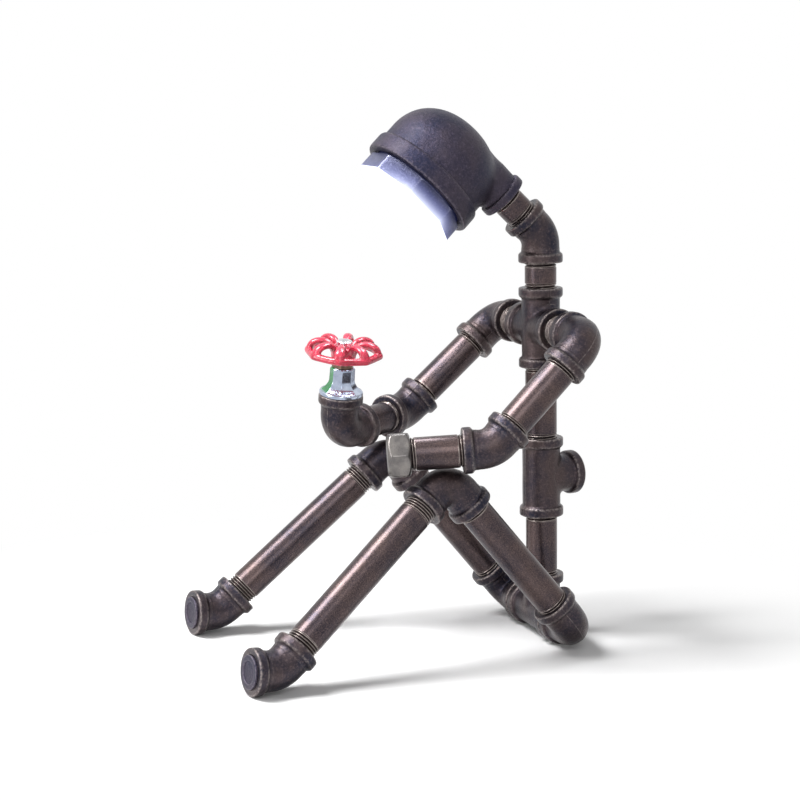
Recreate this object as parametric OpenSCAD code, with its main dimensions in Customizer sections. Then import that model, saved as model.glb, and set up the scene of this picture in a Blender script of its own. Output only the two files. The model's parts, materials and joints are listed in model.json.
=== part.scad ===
// Desk lamp in the shape of a seated robot, built from banded pipe fittings and short pipes.
// It faces -Y, its left side is +X, +Z is up, and it sits on the floor plane Z = 0.
// A fitting's centre is where the axes of its outlets cross. Lengths are in millimetres.

/* [Pipe] */
// Outside diameter of every pipe
pipe_od = 21.3; // [20.5:0.1:22]
// Wall of every pipe
pipe_wall = 2.6; // [2.3:0.1:2.8]
// Pitch of the pipe thread
thread_pitch = 1.814; // [1.6:0.01:2]
// Depth of the pipe thread
thread_depth = 1.16; // [1:0.02:1.3]
// Thread ridges that show on the shins and nipples
thread_rows = 3; // [1:1:4]
// Thread ridges that show on the other pipes
short_rows = 1; // [1:1:3]
// Length of thread inside a fitting
thread_hold = 12; // [9:0.5:13]
// Radial clearance between a threaded end and the fitting around it
thread_fit = 0.06; // [0.03:0.01:0.09]
// Gap between a fitting's mouth and the first ridge outside it
mouth_gap = 0.4; // [0.35:0.05:1]

/* [Fittings] */
// Outside diameter of the band at a fitting's mouth
band_od = 30; // [28.5:0.1:32]
// Width of the band
band_w = 6; // [4.5:0.1:7]
// Outside diameter of a fitting's body
body_od = 25.4; // [24.6:0.1:26.4]
// How much smaller the branch of a tee or cross is in radius
branch_drop = 0.3; // [0.2:0.05:0.8]
// How much a straight leg stands out from the bend, in radius
leg_step = 0.2; // [0.15:0.05:0.4]
// Diameter of the passage through a fitting
passage_d = 16.4; // [14:0.1:17]
// Centre to mouth of an elbow of 90 degrees, a tee and the cross
reach_90 = 27; // [26.5:0.1:30]
// Centre to mouth of an elbow of 45 degrees
reach_45 = 19; // [18.5:0.1:22]
// Bend radius of an elbow of 90 degrees
bend_90 = 14.2; // [13.8:0.1:15]
// Bend radius of an elbow of 45 degrees
bend_45 = 19; // [17:0.5:22]
// Chamfer on bands, caps and nuts
edge = 0.7; // [0.4:0.1:1]

/* [Frame] */
// Distance of the hip tee's centre behind the middle of the outline
centre_back = 105.8; // [90:0.1:120]
// Distance of the hip tee's centre to the right of the middle of the outline
centre_right = 14.5; // [0:0.1:20]

/* [Spine] */
// Lean of the spine towards the front in degrees
spine_lean = 2.3; // [0:0.1:5]
// Gap between the hip tee and each hip elbow
hip_gap = 1.5; // [1.5:0.1:4]
// Hip tee's centre to back tee's centre
back_tee_up = 94.5; // [90:0.5:100]
// Turn of the back tee's branch to one side in degrees
back_turn = 12; // [0:1:30]
// Height of the left arm elbow's centre above the knee's, which sets the chest's height
arm_over_knee = 20.95; // [19:0.05:30]
// Turn of the chest about the spine in degrees
chest_turn = 3; // [0:0.5:6]
// Chest cross's centre to neck elbow's centre
neck_up = 62.6; // [56:0.1:68]

/* [Cord bush] */
// Diameter of the cord's hole
cord_hole_d = 6.4; // [5:0.1:8]
// Diameter of the bush's flange
bush_flange_d = 23; // [22:0.5:26]
// Thickness of the bush's flange
bush_flange_t = 2; // [1.5:0.1:3]

/* [Legs] */
// Slope of the thighs above the floor in degrees
thigh_slope = 48.5; // [46:0.5:50]
// Hip elbow's centre to knee elbow's centre
thigh_len = 142; // [135:0.5:150]
// Outward turn of the left shin about the thigh in degrees
left_splay = 13; // [0:0.5:15]
// Outward turn of the right shin about the thigh in degrees
right_splay = 0; // [0:0.5:10]
// Turn of the left foot about the shin in degrees
left_foot_turn = -1; // [-10:1:15]
// Turn of the right foot about the shin in degrees
right_foot_turn = 12; // [0:1:15]
// Diameter of the round foot plug's face
plug_d = 21.5; // [20:0.1:24]
// How far the foot plug stands out of the band
plug_out = 1.6; // [1:0.1:3]

/* [Arms] */
// Gap between the chest cross and each shoulder elbow
shoulder_gap = 14; // [12:0.5:18]
// Left arm's angle forward from hanging straight down in degrees
left_arm_lift = 46; // [42:0.1:50]
// Right arm's angle forward from hanging straight down in degrees
right_arm_lift = 49.6; // [45:0.1:52]
// Shoulder elbow's centre to arm elbow's centre
upper_arm_len = 95.5; // [92:0.5:100]
// Inward turn of the left forearm about the upper arm in degrees
left_arm_turn = 29; // [24:1:36]
// Inward turn of the right forearm about the upper arm in degrees
right_arm_turn = 43; // [35:1:50]
// Left arm elbow's centre to the end of the hand cap
left_forearm_len = 67; // [64:0.5:72]
// Right arm elbow's centre to the hand elbow's centre
right_forearm_len = 70.5; // [68:0.5:78]
// Turn of the hand elbow about the forearm in degrees
hand_turn = 22; // [10:1:30]

/* [Hand cap] */
// Width across the flats of the hand cap
cap_flats = 27.2; // [26.6:0.2:31]
// Turn of the cap about the forearm in degrees
cap_turn = 47; // [0:1:59]
// Length of the hand cap
cap_len = 15; // [14.5:0.5:20]

/* [Valve] */
// Diameter of the valve's flange
flange_d = 29.4; // [28:0.2:32]
// Thickness of the flange
flange_h = 2.4; // [2:0.1:3]
// Height from the flange's underside to the top of the cone on it
collar_h = 8; // [6:0.5:9]
// Width of the eight-sided bonnet across its flats
bonnet_flats = 15.4; // [14:0.2:18]
// Turn of the bonnet about its axis, which doesn't change its fit
bonnet_turn = 39; // [0:1:44]
// Height of the bonnet above the cone
bonnet_h = 11; // [9:0.5:13]
// Width across the flats of the packing nut
packing_flats = 13.5; // [12:0.5:15]
// Height of the packing nut
packing_h = 5; // [4:0.5:9]
// Length of the bonnet's thread inside the hand elbow
bonnet_hold = 6; // [5:0.5:8]
// Diameter of the valve stem
stem_d = 6; // [5:0.1:7]
// Running clearance around the stem, in radius
stem_fit = 0.08; // [0.04:0.01:0.1]
// Clearance around a part that only has to keep clear
free_gap = 0.3; // [0.3:0.05:0.5]

/* [Handwheel] */
// Width of the wheel's eight-sided ring across its flats
ring_flats = 49.4; // [48:0.2:52]
// Clear diameter inside the ring
ring_inner_d = 40.4; // [38:0.4:41.2]
// Height of the ring
ring_h = 4.6; // [4.3:0.1:6]
// Height of the ring's underside above the hub's underside
ring_rise = 2.2; // [1.5:0.1:3]
// Arms, one to each corner of the ring
arms = 8; // [4:4:8]
// Thickness of an arm
arm_d = 4.2; // [3.8:0.1:4.2]
// Radius of an arm's arch at its middle line
arch_r = 8.4; // [8:0.1:8.4]
// Distance from the wheel's axis to the top of each arch
arch_at = 14.6; // [14.6:0.1:14.8]
// Depth of an arm's foot below the ring's top
foot_deep = 4.1; // [3:0.1:4.1]
// Diameter of the hub
hub_d = 16.8; // [16.8:0.2:18]
// Height of the hub
hub_h = 9; // [7:0.5:9]
// Turn of the wheel, in which an arm points straight across at 0
wheel_turn = 32; // [0:1:44]
// Width across the flats of the nut on top
nut_flats = 10; // [9:0.5:10]
// Height of that nut
nut_h = 4; // [3:0.5:6]

/* [Dimmer] */
// Diameter of the dimmer inside the hand
dimmer_d = 14; // [12:0.5:15]
// Height of the dimmer's body
dimmer_h = 10; // [7:0.5:11]

/* [Head] */
// Turn of the head about the spine in degrees
neck_turn = -6; // [-15:1:15]
// Turn of the head about the nipple below it in degrees
head_turn = 6; // [-15:1:15]
// Neck elbow's centre to the head's centre
head_reach = 84; // [77:0.5:88]
// Head's centre to the small mouth
head_small_reach = 49.5; // [48:0.5:54]
// Outside diameter of the band at the small mouth
head_small_band_od = 33; // [30:0.5:35]
// Head's centre to the big mouth
head_big_reach = 38; // [35:0.5:41]
// Outside diameter of the band at the big mouth
head_band_od = 82.5; // [80:0.5:85]
// Width of that band
head_band_w = 11.5; // [9:0.5:14]
// Outside diameter of the head's body
head_body_od = 78; // [75:0.5:79]
// Head's centre to its back
head_back = 15; // [14:0.5:20]
// Rounding at the back of the head
head_round = 31; // [24:0.5:33]
// Wall of the head
head_wall = 5; // [4:0.25:6]
// Diameter of the small outlet where it leaves the body
throat_d = 30.5; // [28:0.5:36]

/* [Lamp] */
// Width across the flats of the eight-sided bushing
bushing_flats = 69.4; // [68.5:0.1:72]
// Turn of the bushing in the mouth in degrees
bushing_turn = 15; // [0:1:44]
// Height of the bushing outside the head
bushing_out = 14; // [10:0.5:16]
// Length of the bushing inside the head
bushing_in = 10; // [8:0.5:14]
// Diameter of the opening through the bushing
opening_d = 54; // [48:0.5:55]
// Width of the ledge that the lens rests on
ledge_w = 2; // [1.5:0.25:3]
// Depth of the lens below the bushing's face
lens_deep = 1.5; // [0.5:0.25:3]
// Thickness of the lens
lens_t = 3; // [2:0.25:4]
// Rise of the lens's dome
lens_rise = 3; // [1:0.5:4]
// Thickness of the lamp board
board_t = 1.6; // [1:0.1:2]
// Light sources on the board's ring
lamps = 8; // [6:1:10]
// Side of one light source
lamp_side = 4; // [3:0.5:5]
// Height of one light source
lamp_h = 1; // [0.5:0.1:2]
// Thickness of the heat sink's plate
sink_t = 3; // [2:0.25:4]
// Height of the heat sink's fins
fin_h = 8; // [6:0.5:10]
// Thickness of a fin
fin_t = 1.4; // [1:0.1:2]
// Fins
fins = 7; // [5:1:9]

/* [Wires] */
// Diameter of one wire
wire_d = 1.8; // [1.4:0.1:2.2]
// Distance between the two wires
wire_pitch = 13; // [12.4:0.1:13.4]

/* [Hidden] */
$fn = 64;
// Facets of the wide dome
dome_facets = 320;
// How much of a six-sided corner is turned off, as a share
turned_share = 0.8;
// Where the ring of light sources lies, as a share of the board's radius
ring_share = 0.62;
// Overrun of cuts
over = 1;
pipe_r = pipe_od / 2;
bore_r = pipe_r - pipe_wall;
tenon_r = pipe_r - thread_depth;
socket_r = tenon_r + thread_fit;
passage_r = passage_d / 2;
band_r = band_od / 2;
body_r = body_od / 2;
leg_r = body_r + leg_step;
branch_r = leg_r - branch_drop;
seat_h = band_r;
hip_x = 2 * reach_90 + hip_gap;
shoulder_x = 2 * reach_90 + shoulder_gap;
back_tee_z = back_tee_up;
// The chest is as high as the knee, the space over it and the upper arm's drop together
chest_z = (thigh_len * sin(thigh_slope) + arm_over_knee + upper_arm_len * cos(left_arm_lift - spine_lean))
    / cos(spine_lean);
chest_up = chest_z - back_tee_z;
neck_z = chest_z + neck_up;
head_body_r = head_body_od / 2;
head_band_r = head_band_od / 2;
head_bore_r = head_body_r - head_wall;
head_tenon_r = head_bore_r - thread_fit;
throat_r = throat_d / 2;
function splay(side) = side > 0 ? left_splay : -right_splay;
function foot_turn(side) = side > 0 ? left_foot_turn : -right_foot_turn;
// Rise of a foot's axis, as the Z of its unit direction
function foot_z(side) = (sin(thigh_slope) * cos(foot_turn(side)) - cos(splay(side)) * cos(thigh_slope)
    - sin(splay(side)) * cos(thigh_slope) * sin(foot_turn(side))) / sqrt(2);
// A foot rests on its band: height of the ankle's centre when the band's lowest edge is on the floor
function ankle_z(side) = band_r * sqrt(1 - foot_z(side) * foot_z(side))
    - min((reach_45 - band_w + edge) * foot_z(side), (reach_45 - edge) * foot_z(side));
knee_z = seat_h + thigh_len * sin(thigh_slope);
function shin_len(side) = (knee_z - ankle_z(side)) / (cos(thigh_slope) * cos(splay(side)));
sink_z = head_big_reach - bushing_in;
face_z = head_big_reach + bushing_out;
opening_r = opening_d / 2;
stem_r = stem_d / 2;
tip_r = stem_r - thread_depth;
bonnet_z = reach_90 + collar_h;
packing_z = bonnet_z + bonnet_h;
hub_z = packing_z + packing_h + free_gap;
nut_z = hub_z + hub_h;
dimmer_z = reach_90 - bonnet_hold - dimmer_h;
// Corner radius of a shape from its flats
function corner_r(flats, sides = 6) = flats / 2 / cos(180 / sides);

iron = [0.36, 0.31, 0.30];
steel = [0.44, 0.39, 0.37];

// Places: each module moves its children from the origin to a point of the figure.
module at_seat() { translate([-centre_right, centre_back, seat_h]) children(); }
module at_spine(z) { at_seat() rotate([spine_lean, 0, 0]) translate([0, 0, z]) children(); }
// At a hip elbow's centre, +Z along the thigh
module at_hip(side) { at_seat() translate([side * hip_x, 0, 0]) rotate([90 - thigh_slope, 0, 0]) children(); }
module at_knee(side) { at_hip(side) translate([0, 0, thigh_len]) rotate([0, 0, splay(side)]) children(); }
// At the knee, +Z along the shin
module at_shin(side) { at_knee(side) rotate([90, 0, 0]) children(); }
module at_ankle(side) {
    at_shin(side) translate([0, 0, shin_len(side)]) rotate([0, 0, 180 + foot_turn(side)]) children();
}
// At the chest, +Z out to one side
module at_chest(side) { at_spine(chest_z) rotate([0, 0, chest_turn]) rotate([0, side * 90, 0]) children(); }
function arm_lift(side) = side > 0 ? left_arm_lift : right_arm_lift;
module at_shoulder(side) {
    at_chest(side) translate([0, 0, shoulder_x]) rotate([0, 0, side * (90 - arm_lift(side))]) children();
}
// At the shoulder elbow's centre, +Z down the upper arm
module at_upper_arm(side) { at_shoulder(side) rotate([90, 0, 0]) children(); }
function arm_turn(side) = side > 0 ? left_arm_turn : right_arm_turn;
module at_arm_elbow(side) {
    at_upper_arm(side) translate([0, 0, upper_arm_len])
        rotate([0, 0, side * (arm_turn(side) - 90)]) children();
}
// At the arm elbow's centre, +Z along the forearm
module at_forearm(side) { at_arm_elbow(side) rotate([45, 0, 0]) children(); }
module at_hand() { at_forearm(-1) translate([0, 0, right_forearm_len]) rotate([0, 0, hand_turn]) children(); }
// At the hand elbow's centre, +Z up the valve
module at_valve() { at_hand() rotate([90, 0, 0]) children(); }
module at_neck() { at_spine(neck_z) rotate([0, 0, neck_turn]) children(); }
// At the neck elbow's centre, +Z towards the head
module at_nape() { at_neck() rotate([45, 0, 0]) children(); }
module at_head() { at_nape() translate([0, 0, head_reach]) rotate([0, 0, head_turn]) children(); }
// At the head's centre, +Z out of the big mouth
module at_face() { at_head() rotate([90, 0, 0]) children(); }

// Straight leg of a fitting along +Z from z0 to its mouth, with the band
module leg(z0, reach, r, rim_r = band_r, rim_w = band_w) {
    rotate_extrude() polygon([[0, z0], [r, z0], [r, reach - rim_w - edge], [rim_r - edge, reach - rim_w],
        [rim_r, reach - rim_w + edge], [rim_r, reach - edge], [rim_r - edge, reach], [0, reach]]);
}
// What is cut out of a leg: the threaded socket with its chamfer, and the passage behind it
module leg_bore(z0, reach, r) {
    rotate_extrude() polygon([[0, z0], [r, z0], [r, reach - thread_hold], [socket_r, reach - thread_hold],
        [socket_r, reach - edge], [socket_r + edge, reach], [socket_r + edge, reach + over],
        [0, reach + over]]);
}
// Quarter or eighth of a ring from straight up to a direction turned towards -Y
module bend(turn, r_bend, r) {
    t = r_bend * tan(turn / 2);
    translate([0, -r_bend, -t]) rotate([90, 0, 90]) rotate_extrude(angle = turn) translate([r_bend, 0]) circle(r = r);
}
module elbow(turn, r_bend, reach) {
    t = r_bend * tan(turn / 2) - leg_step * 5;
    difference() {
        union() {
            bend(turn, r_bend, body_r);
            rotate([180, 0, 0]) leg(t, reach, leg_r);
            rotate([turn, 0, 0]) leg(t, reach, leg_r);
        }
        bend(turn, r_bend, passage_r - leg_step);
        rotate([180, 0, 0]) leg_bore(t, reach, passage_r);
        rotate([turn, 0, 0]) leg_bore(t, reach, passage_r);
    }
}
// Straight run along Z with side branches towards the listed turns about Z, 0 being -Y
module run(turns) {
    difference() {
        union() {
            leg(-over, reach_90, leg_r);
            mirror([0, 0, 1]) leg(-over, reach_90, leg_r);
            for (a = turns) rotate([0, 0, a]) rotate([90, 0, 0]) leg(0, reach_90, branch_r);
        }
        leg_bore(-over, reach_90, passage_r);
        mirror([0, 0, 1]) leg_bore(-over, reach_90, passage_r);
        for (a = turns) rotate([0, 0, a]) rotate([90, 0, 0]) leg_bore(0, reach_90, passage_r - branch_drop);
    }
}
// Outline of one threaded end: the tenon below z = 0, ridges and the full pipe above
function end_outline(rows) = concat([[tenon_r - edge, edge - thread_hold], [tenon_r, 2 * edge - thread_hold],
    [tenon_r, mouth_gap]], [for (i = [0:rows - 1]) each [[pipe_r - thread_fit, mouth_gap + (i + 1 / 2) * thread_pitch],
    [tenon_r, mouth_gap + (i + 1) * thread_pitch]]]);
function flipped(pts, z) = [for (i = [len(pts) - 1:-1:0]) [pts[i][0], z - pts[i][1]]];
// Pipe between two mouths that are gap apart, the first at z = 0
module pipe(gap, most = short_rows) {
    rows = min(most, floor((gap - 2 * mouth_gap) / 2 / thread_pitch));
    ends = rows > 0 ? end_outline(rows) : [[tenon_r - edge, edge - thread_hold], [tenon_r, 2 * edge - thread_hold]];
    full = gap - 2 * (mouth_gap + rows * thread_pitch) > 2 * thread_depth && rows > 0;
    z1 = mouth_gap + rows * thread_pitch + thread_depth / 2;
    mid = full ? [[pipe_r, z1], [pipe_r, gap - z1]] : [];
    rotate_extrude() polygon(concat([[bore_r, edge - thread_hold]], ends, mid, flipped(ends, gap),
        [[bore_r, gap + thread_hold - edge]]));
}
// Two wires side by side along a route of [x, y, z] points, joined at each point
module wires(route) {
    for (s = [-1, 1]) for (i = [0:len(route) - 2]) {
        a = route[i] + [s * wire_pitch / 2, 0, 0];
        d = route[i + 1] - route[i];
        translate(a) rotate([0, atan2(norm([d[0], d[1]]), d[2]), atan2(d[1], d[0])]) cylinder(d = wire_d, h = norm(d));
    }
}

// Six- or eight-sided block from z0 to z0 + h with turned-off corners at the chosen ends
module prism(flats, z0, h, low = true, high = true, sides = 6) {
    r = corner_r(flats, sides);
    c = (r - flats / 2) * turned_share;
    intersection() {
        translate([0, 0, z0]) cylinder(r = r, h = h, $fn = sides);
        translate([0, 0, z0]) rotate_extrude() polygon([[0, 0], [low ? r - c : r, 0], [r, low ? c : 0],
            [r, high ? h - c : h], [high ? r - c : r, h], [0, h]]);
    }
}
// Bore along +Z
module bore(r, z0, z1) { translate([0, 0, z0]) cylinder(r = r, h = z1 - z0); }

module hip_elbow(side) {
    color(iron) at_seat() translate([side * hip_x, 0, 0]) rotate([0, side * 90, 0])
        rotate([0, 0, -side * thigh_slope]) elbow(90, bend_90, reach_90);
}
module hip_nipple(side) { color(steel) at_seat() rotate([0, side * 90, 0]) translate([0, 0, reach_90]) pipe(hip_gap); }
module thigh_pipe(side) { color(steel) at_hip(side) translate([0, 0, reach_90]) pipe(thigh_len - 2 * reach_90); }
module knee_elbow(side) { color(iron) at_knee(side) elbow(90, bend_90, reach_90); }
module shin_pipe(side) {
    color(steel) at_shin(side) translate([0, 0, reach_90]) pipe(shin_len(side) - reach_90 - reach_45, thread_rows);
}
module ankle_elbow(side) { color(iron) at_ankle(side) elbow(45, bend_45, reach_45); }
module foot_plug(side) {
    color(iron) at_ankle(side) rotate([45, 0, 0]) translate([0, 0, reach_45]) rotate_extrude() polygon([
        [0, -thread_hold + edge], [tenon_r - edge, -thread_hold + edge], [tenon_r, -thread_hold + 2 * edge], [tenon_r, 0],
        [plug_d / 2, 0], [plug_d / 2, plug_out - edge], [plug_d / 2 - edge, plug_out], [0, plug_out]]);
}
module hip_tee() { color(iron) at_seat() rotate([spine_lean - 90, 0, 0]) rotate([0, 90, 0]) run([0]); }
module lower_spine_pipe() { color(steel) at_spine(reach_90) pipe(back_tee_z - 2 * reach_90); }
module at_branch() { at_spine(back_tee_z) rotate([0, 0, 180 + back_turn]) rotate([90, 0, 0]) children(); }
module back_tee() { color(iron) at_spine(back_tee_z) rotate([0, 0, 180 + back_turn]) run([0]); }
module cord_bush() {
    color([0.1, 0.1, 0.11]) at_branch() translate([0, 0, reach_90]) difference() {
        rotate_extrude() polygon([[0, edge - thread_hold], [tenon_r - edge, edge - thread_hold],
            [tenon_r, 2 * edge - thread_hold], [tenon_r, 0], [bush_flange_d / 2, 0],
            [bush_flange_d / 2, bush_flange_t - edge], [bush_flange_d / 2 - edge, bush_flange_t], [0, bush_flange_t]]);
        bore(cord_hole_d / 2, -thread_hold, bush_flange_t + over);
    }
}
module upper_spine_pipe() { color(steel) at_spine(back_tee_z + reach_90) pipe(chest_up - 2 * reach_90); }
module chest_cross() { color(iron) at_spine(chest_z) rotate([0, 0, chest_turn]) run([90, -90]); }
module neck_pipe() { color(steel) at_spine(chest_z + reach_90) pipe(neck_up - reach_90 - reach_45); }
module spine_wires() {
    color([0.75, 0.72, 0.66]) at_spine(0) {
        wires([[0, 0, back_tee_z], [0, 0, neck_z - reach_45]]);
        translate([0, 0, back_tee_z]) rotate([0, 0, back_turn])
            wires([[0, 0, 0], [0, reach_90 - thread_hold, 0]]);
    }
}

module neck_elbow() { color(iron) at_neck() elbow(45, bend_45, reach_45); }
module head_nipple() {
    color(steel) at_nape() translate([0, 0, reach_45]) pipe(head_reach - reach_45 - head_small_reach);
}
module head_wires() {
    color([0.75, 0.72, 0.66]) at_nape() wires([[0, 0, 0], [0, 0, head_reach - head_small_reach + thread_hold]]);
}

// Outline of the head's round body in radius and height, drawn in by w from the outside
module head_outline(w, top) {
    r = head_body_r - w;
    c = head_round - w;
    intersection() {
        union() {
            translate([r - c, head_round - head_back]) circle(r = c);
            translate([0, w - head_back]) square([r - c, top + head_back - w]);
            translate([0, head_round - head_back]) square([r, top + head_back - head_round]);
        }
        translate([0, -head_back]) square([head_body_r, top + head_back]);
    }
}
module head_elbow() {
    small = head_small_reach;
    small_leg_r = head_small_band_od / 2 - (band_r - leg_r);
    color(iron) at_head() difference() {
        union() {
            rotate([90, 0, 0]) rotate_extrude() head_outline(0, head_big_reach - over);
            rotate([90, 0, 0]) leg(head_big_reach - 2 * head_band_w, head_big_reach, head_body_r + leg_step,
                head_band_r, head_band_w);
            rotate([180, 0, 0]) translate([0, 0, head_body_r / 2])
                cylinder(r1 = throat_r, r2 = small_leg_r - leg_step, h = small - band_w - head_body_r / 2);
            rotate([180, 0, 0]) leg(small - band_w - over - edge, small, small_leg_r, head_small_band_od / 2);
        }
        rotate([90, 0, 0]) rotate_extrude() head_outline(head_wall, head_big_reach - over - edge);
        rotate([90, 0, 0]) bore(head_bore_r + leg_step, head_big_reach - bushing_in - sink_t - over, head_big_reach + over);
        rotate([180, 0, 0]) leg_bore(head_body_r / 3, small, passage_r);
    }
}
module head_bushing() {
    color([0.42, 0.42, 0.5]) at_face() difference() {
        union() {
            rotate([0, 0, bushing_turn]) prism(bushing_flats, head_big_reach, bushing_out, false, true, 8);
            bore(head_tenon_r, sink_z, head_big_reach + over);
        }
        bore(opening_r, sink_z - over, face_z - lens_deep);
        bore(opening_r - ledge_w, sink_z, face_z + over);
    }
}
module lamp_lens() {
    r = opening_r - thread_fit;
    color([0.97, 0.98, 1]) at_face() {
        dome_r = opening_r - ledge_w - free_gap;
        sphere_r = (dome_r * dome_r + lens_rise * lens_rise) / (2 * lens_rise);
        union() {
            bore(r, face_z - lens_deep - lens_t, face_z - lens_deep);
            intersection() {
                bore(dome_r, face_z - lens_deep - lens_t / 2, face_z + lens_rise);
                translate([0, 0, face_z - lens_deep + lens_rise - sphere_r]) sphere(r = sphere_r, $fn = dome_facets);
            }
        }
    }
}
module lamp_board() {
    color([0.93, 0.93, 0.9]) at_face() union() {
        bore(opening_r - free_gap, sink_z, sink_z + board_t);
        for (i = [0:lamps - 1]) rotate([0, 0, i * 360 / lamps])
            translate([opening_r * ring_share - lamp_side / 2, -lamp_side / 2, sink_z + board_t / 2])
                cube([lamp_side, lamp_side, board_t / 2 + lamp_h]);
    }
}
module heat_sink() {
    fin_pitch = 2 * opening_r / fins;
    color([0.75, 0.76, 0.78]) at_face() difference() {
        union() {
            bore(head_tenon_r, sink_z - sink_t, sink_z);
            intersection() {
                bore(opening_r, sink_z - sink_t - fin_h, sink_z - sink_t / 2);
                for (i = [0:fins - 1])
                    translate([-opening_r, (i - (fins - 1) / 2) * fin_pitch - fin_t / 2, sink_z - sink_t - fin_h])
                        cube([2 * opening_r, fin_t, fin_h + sink_t / 2]);
            }
        }
        bore(passage_r, sink_z - sink_t - fin_h - over, sink_z + over);
    }
}
module lamp_wires() {
    color([0.75, 0.72, 0.66]) at_head()
        wires([[0, 0, over + thread_hold - head_small_reach], [0, 0, 0], [0, -sink_z, 0]]);
}

module shoulder_nipple(side) { color(steel) at_chest(side) translate([0, 0, reach_90]) pipe(shoulder_gap, thread_rows); }
module shoulder_elbow(side) { color(iron) at_shoulder(side) elbow(90, bend_90, reach_90); }
module upper_arm_pipe(side) {
    color(steel) at_upper_arm(side) translate([0, 0, reach_90]) pipe(upper_arm_len - reach_90 - reach_45);
}
module arm_elbow(side) { color(iron) at_arm_elbow(side) elbow(45, bend_45, reach_45); }
module left_forearm_pipe() {
    color(steel) at_forearm(1) translate([0, 0, reach_45]) pipe(left_forearm_len - cap_len - reach_45);
}
module left_hand_cap() {
    color([0.62, 0.56, 0.52]) at_forearm(1) translate([0, 0, left_forearm_len - cap_len]) difference() {
        rotate([0, 0, cap_turn]) prism(cap_flats, 0, cap_len);
        rotate([180, 0, 0]) leg_bore(-thread_hold - over, 0, socket_r);
        bore(socket_r, -over, thread_hold + over);
    }
}
module right_arm_wires() {
    color([0.75, 0.72, 0.66]) at_upper_arm(-1) wires([[0, 0, bend_90], [0, 0, upper_arm_len - reach_45 + thread_hold / 2]]);
}
module right_forearm_nipple() {
    color(steel) at_forearm(-1) translate([0, 0, reach_45]) pipe(right_forearm_len - reach_45 - reach_90);
}
module right_forearm_wires() {
    color([0.75, 0.72, 0.66]) at_forearm(-1) wires([[0, 0, 0], [0, 0, right_forearm_len - reach_90 + thread_hold]]);
}
module right_hand_elbow() { color(iron) at_hand() elbow(90, bend_90, reach_90); }
module valve_bonnet() {
    top = corner_r(bonnet_flats, 8);
    color([0.72, 0.76, 0.8]) at_valve() difference() {
        union() {
            rotate_extrude() polygon([[0, reach_90 - bonnet_hold], [tenon_r, reach_90 - bonnet_hold], [tenon_r, reach_90],
                [flange_d / 2 - edge, reach_90], [flange_d / 2, reach_90 + edge],
                [flange_d / 2, reach_90 + flange_h - edge], [flange_d / 2 - edge, reach_90 + flange_h],
                [top + edge, bonnet_z - edge], [top + edge, bonnet_z], [0, bonnet_z]]);
            rotate([0, 0, bonnet_turn]) prism(bonnet_flats, bonnet_z - over, bonnet_h + over, false, true, 8);
        }
        bore(stem_r + stem_fit, reach_90 - bonnet_hold - over, packing_z + over);
    }
}
module packing_nut() {
    color([0.45, 0.33, 0.28]) at_valve() difference() {
        prism(packing_flats, packing_z, packing_h, false, true);
        bore(stem_r + stem_fit, packing_z - over, packing_z + packing_h + over);
    }
}
module dimmer_switch() {
    color([0.15, 0.15, 0.17]) at_valve() difference() {
        bore(dimmer_d / 2, dimmer_z, dimmer_z + dimmer_h);
        bore(tip_r + free_gap, dimmer_z + dimmer_h / 2, dimmer_z + dimmer_h + over);
    }
}
module valve_stem() {
    low = dimmer_z + dimmer_h / 2 + free_gap;
    step = reach_90 - bonnet_hold + free_gap;
    color([0.7, 0.72, 0.74]) at_valve() union() {
        bore(tip_r, low, step + over);
        bore(stem_r, step, nut_z - thread_fit);
        bore(tip_r, nut_z - over, nut_z + nut_h);
    }
}
module handwheel() {
    ring_z = hub_z + ring_rise;
    foot_z = ring_z + ring_h - foot_deep;
    color([0.75, 0.2, 0.24]) at_valve() difference() {
        rotate([0, 0, wheel_turn]) union() {
            difference() {
                prism(ring_flats, ring_z, ring_h, true, true, 8);
                bore(ring_inner_d / 2, ring_z - over, ring_z + ring_h + over);
            }
            bore(hub_d / 2, hub_z, hub_z + hub_h);
            for (i = [0:arms - 1]) rotate([0, 0, i * 360 / arms]) translate([arch_at, 0, foot_z])
                rotate([90, 0, 0]) rotate_extrude(angle = 180) translate([arch_r, 0]) circle(d = arm_d);
        }
        bore(stem_r + thread_fit, hub_z - over, hub_z + hub_h + over);
    }
}
module wheel_nut() {
    color([0.72, 0.74, 0.76]) at_valve() difference() {
        prism(nut_flats, nut_z, nut_h);
        bore(tip_r + thread_fit, nut_z - over, nut_z + nut_h + over);
    }
}

hip_tee();
hip_nipple(1);  // left_hip_nipple
hip_nipple(-1);  // right_hip_nipple
hip_elbow(1);  // left_hip_elbow
hip_elbow(-1);  // right_hip_elbow
thigh_pipe(1);  // left_thigh_pipe
thigh_pipe(-1);  // right_thigh_pipe
knee_elbow(1);  // left_knee_elbow
knee_elbow(-1);  // right_knee_elbow
shin_pipe(1);  // left_shin_pipe
shin_pipe(-1);  // right_shin_pipe
ankle_elbow(1);  // left_ankle_elbow
ankle_elbow(-1);  // right_ankle_elbow
foot_plug(1);  // left_foot_plug
foot_plug(-1);  // right_foot_plug
lower_spine_pipe();
back_tee();
cord_bush();
upper_spine_pipe();
chest_cross();
neck_pipe();
spine_wires();
neck_elbow();
head_nipple();
head_wires();
head_elbow();
head_bushing();
lamp_lens();
lamp_board();
heat_sink();
lamp_wires();
shoulder_nipple(1);  // left_shoulder_nipple
shoulder_nipple(-1);  // right_shoulder_nipple
shoulder_elbow(1);  // left_shoulder_elbow
shoulder_elbow(-1);  // right_shoulder_elbow
upper_arm_pipe(1);  // left_upper_arm_pipe
upper_arm_pipe(-1);  // right_upper_arm_pipe
arm_elbow(1);  // left_arm_elbow
arm_elbow(-1);  // right_arm_elbow
left_forearm_pipe();
left_hand_cap();
right_arm_wires();
right_forearm_nipple();
right_forearm_wires();
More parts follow.
